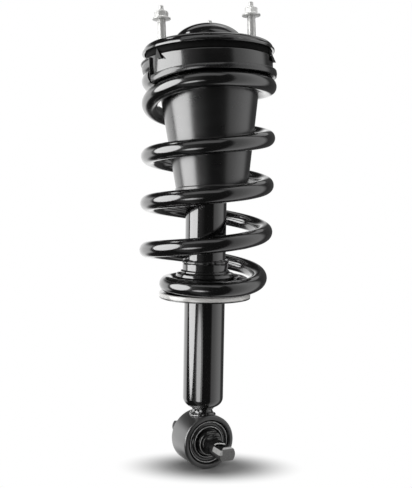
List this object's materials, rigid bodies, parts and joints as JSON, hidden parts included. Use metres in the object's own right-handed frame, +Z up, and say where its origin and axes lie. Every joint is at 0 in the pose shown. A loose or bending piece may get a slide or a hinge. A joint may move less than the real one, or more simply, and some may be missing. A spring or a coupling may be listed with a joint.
{
  "type": "strut assembly",
  "caption": "Front coil-over strut with a domed stud-mounted top, a black coil spring, a tapered dust cup and a bar-pin rubber eye at its lower end.",
  "frame": {"origin": "centre of the lower eye, which is also the middle of the line between the bar pin's two bolt holes, on the axis of the bar's barrel", "axes": "+Z up the damper axis towards the top mount, Y along the bar pin, and the top mount leans towards +Y"},
  "size_m": [0.1704, 0.1714, 0.5875],
  "materials": {
    "black_enamel": "gloss",
    "spring_coat": "gloss powder coat",
    "zinc": "bright zinc plate",
    "rubber_black": "matt",
    "shield_plastic": "satin",
    "insulator_rubber": "semi-gloss",
    "hard_chrome": "polished",
    "steel": "machined",
    "sintered": "sintered",
    "foam": "microcellular urethane",
    "bearing_tape": "filled PTFE",
    "phosphate": "black phosphate"
  },
  "bodies": {
    "mount": {"mount_plate": "black_enamel", "mount_studs": "zinc", "stud_nuts": "zinc", "mount_rubber": "rubber_black", "mount_housing": "black_enamel", "bushing_sleeve": "phosphate", "bushing_rubber": "rubber_black", "spring_insulator": "insulator_rubber", "dust_cup": "shield_plastic"},
    "rod": {"piston_rod": "hard_chrome", "bushing_core": "steel", "lower_washer": "steel", "upper_washer": "steel", "rod_nut": "zinc", "bump_stop": "foam", "rebound_stop": "rubber_black", "piston": "sintered", "piston_band": "bearing_tape", "rebound_discs": "steel", "piston_nut": "steel"},
    "damper": {"reserve_tube": "black_enamel", "pressure_tube": "steel", "base_valve": "sintered", "rod_guide": "sintered", "guide_bush": "bearing_tape", "rod_seal": "rubber_black", "striker_cap": "phosphate", "spring_seat": "black_enamel", "coil_spring": "spring_coat", "eye_stem": "black_enamel", "eye_sleeve": "black_enamel", "eye_bushing": "rubber_black"},
    "bar": {"bar_pin": "phosphate"}
  },
  "joints": [
    {"name": "mount_swivel", "type": "hinge", "parent": "mount", "child": "rod", "pos_m": [0, 0, 0.48], "axis": [1, 0, 0], "range_deg": [-11.3, 0.3], "stiffness_Nm_per_rad": 60},
    {"name": "damper_stroke", "type": "slide", "parent": "rod", "child": "damper", "axis": [0, 0, 1], "range_m": [0, 0.084], "stiffness_N_per_m": 2000, "springref_m": -0.03, "deforming": ["coil_spring"]},
    {"name": "bar_twist", "type": "hinge", "parent": "damper", "child": "bar", "pos_m": [0, 0, 0], "axis": [0, 1, 0], "range_deg": [-20, 20], "stiffness_Nm_per_rad": 20}
  ]
}
